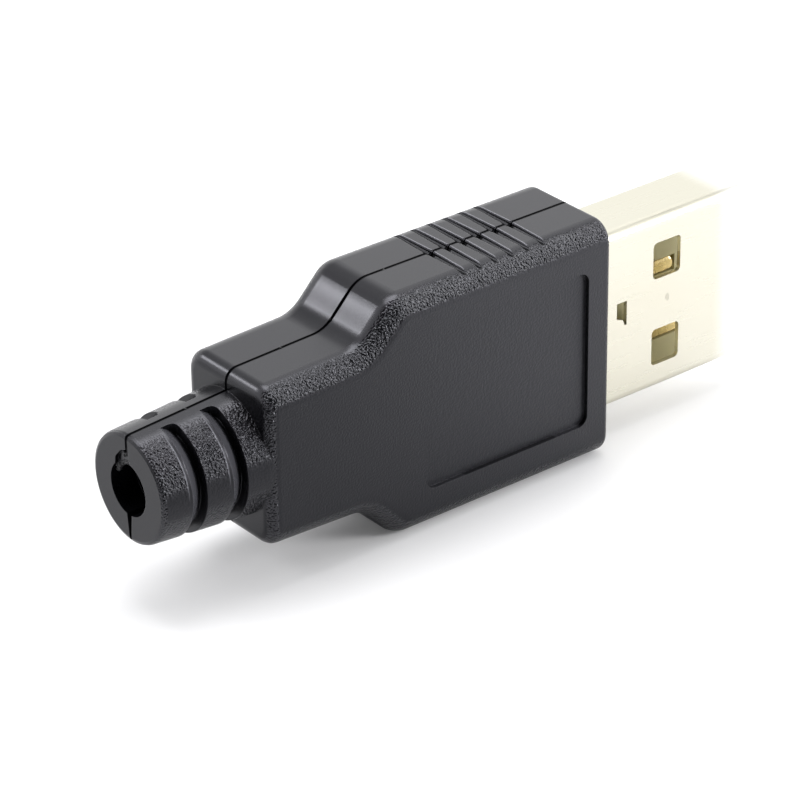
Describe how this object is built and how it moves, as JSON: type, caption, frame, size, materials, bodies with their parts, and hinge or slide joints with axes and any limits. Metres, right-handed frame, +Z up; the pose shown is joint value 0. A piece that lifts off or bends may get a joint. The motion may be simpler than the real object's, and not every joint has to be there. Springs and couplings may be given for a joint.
{
  "type": "usb-a plug",
  "caption": "USB-A plug to be put on a cable: folded metal shell, contact carrier with contacts, and two snap-together housing halves with a slotted strain relief.",
  "frame": {"origin": "on the surface it stands on, under the middle of its length and thickness, at the parting plane of the housing", "axes": "+X out of the metal tip, along the plug; +Y through the thickness, away from the side that the contacts face; +Z up, across the width of the plug"},
  "size_m": [0.0456, 0.008, 0.0159],
  "materials": {
    "black_plastic": "satin moulded, fine grain",
    "nickel_sheet": "nickel plated, satin",
    "white_plastic": "matte moulded",
    "gold_contact": "gold flashed"
  },
  "bodies": {
    "root": {"near_housing_half": "black_plastic", "far_housing_half": "black_plastic", "metal_shell": "nickel_sheet", "contact_carrier": "white_plastic", "contact_power": "gold_contact", "contact_data_minus": "gold_contact", "contact_data_plus": "gold_contact", "contact_ground": "gold_contact"}
  },
  "joints": []
}
